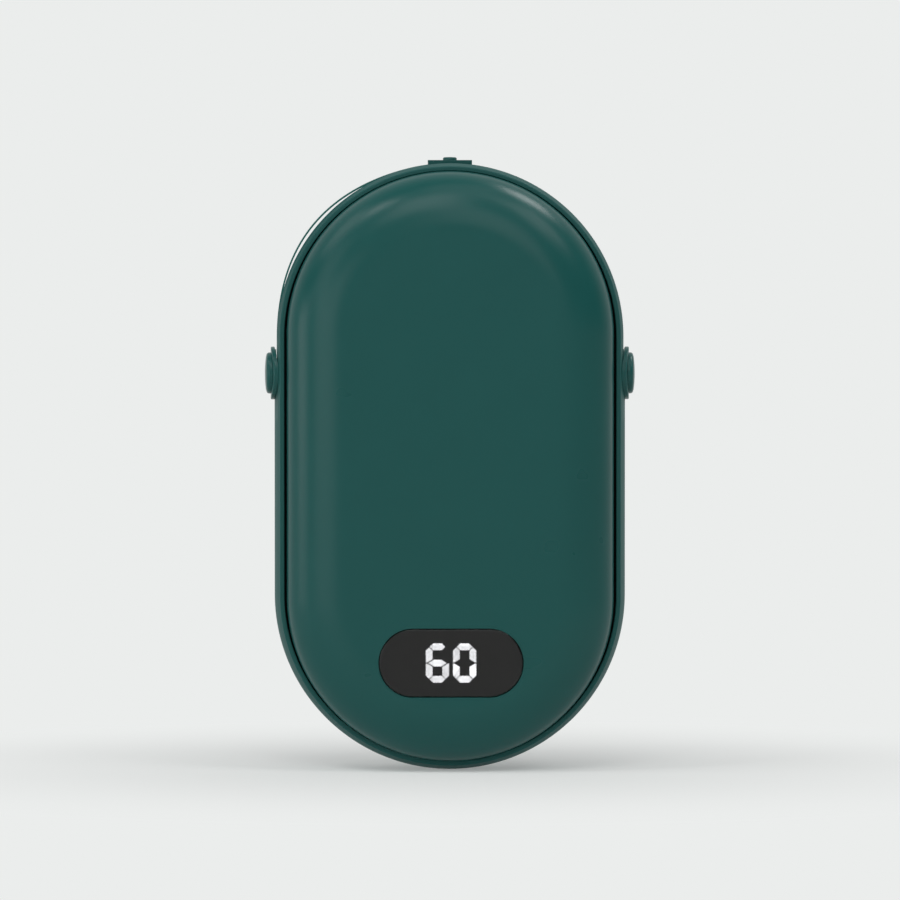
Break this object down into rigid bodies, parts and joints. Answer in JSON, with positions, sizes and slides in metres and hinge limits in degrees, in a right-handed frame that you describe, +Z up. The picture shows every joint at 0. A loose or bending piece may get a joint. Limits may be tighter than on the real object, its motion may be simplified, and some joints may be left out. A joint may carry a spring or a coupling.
{
  "type": "rechargeable hand warmer",
  "caption": "Pocket hand warmer: stadium-shaped crowned housing with display window, top push button, bottom charging port and a thin carry strap on side pivots.",
  "frame": {"origin": "centre of the bounding box seen from above, at the bottom of the housing", "axes": "+Z up the long axis, the display faces -Y, +X to the right as seen from the display side"},
  "size_m": [0.0666, 0.026, 0.11],
  "materials": {
    "soft_touch_green": "satin soft-touch",
    "seal_black": "matte",
    "window_smoke": "gloss",
    "mask_black": "printed",
    "segment_white": "translucent, lit",
    "segment_dark": "translucent, unlit",
    "module_white": "moulded",
    "board_green": "solder resist",
    "component_black": "moulded",
    "plated_steel": "plated",
    "capacitor_tan": "moulded",
    "cell_foil": "laminated foil",
    "tray_grey": "moulded",
    "foam_grey": "foam",
    "wire_red": "insulation",
    "spreader_aluminium": "sheet",
    "heater_film": "polyimide film",
    "foam_white": "foam",
    "wire_white": "insulation",
    "wire_black": "insulation",
    "strap_green": "smooth"
  },
  "bodies": {
    "housing": {"mid_frame": "soft_touch_green", "front_panel": "soft_touch_green", "rear_panel": "soft_touch_green", "front_gasket": "seal_black", "rear_gasket": "seal_black", "display_window": "window_smoke", "display_mask": "mask_black", "lit_segments": "segment_white", "unlit_segments": "segment_dark", "display_module": "module_white", "display_board": "board_green", "display_header": "component_black", "display_screws": "plated_steel", "main_board": "board_green", "board_chips": "component_black", "power_inductor": "component_black", "board_capacitors": "capacitor_tan", "battery_socket": "module_white", "charging_port": "plated_steel", "board_screws": "plated_steel", "battery_cell": "cell_foil", "battery_tray": "tray_grey", "battery_foam": "foam_grey", "tray_screws": "plated_steel", "battery_leads": "wire_red", "front_heat_spreader": "spreader_aluminium", "front_heater": "heater_film", "front_insulation": "foam_white", "front_heater_leads": "wire_white", "rear_heat_spreader": "spreader_aluminium", "rear_heater": "heater_film", "rear_insulation": "foam_white", "rear_heater_leads": "wire_white", "temperature_sensor": "component_black", "button_base": "soft_touch_green", "button_switch": "component_black", "switch_board": "board_green", "switch_leads": "wire_black", "left_pivot_stud": "plated_steel", "right_pivot_stud": "plated_steel", "left_pivot_plate": "soft_touch_green", "right_pivot_plate": "soft_touch_green", "left_pivot_cap": "soft_touch_green", "right_pivot_cap": "soft_touch_green"},
    "strap": {"carry_strap": "strap_green"},
    "button": {"power_button": "soft_touch_green"}
  },
  "joints": [
    {"name": "strap_swing", "type": "hinge", "parent": "housing", "child": "strap", "pos_m": [0, 0, 0.0713], "axis": [-1, 0, 0], "range_deg": [0, 110]},
    {"name": "button_press", "type": "slide", "parent": "housing", "child": "button", "axis": [0, 0, -1], "range_m": [0, 0.0003], "stiffness_N_per_m": 4000}
  ]
}
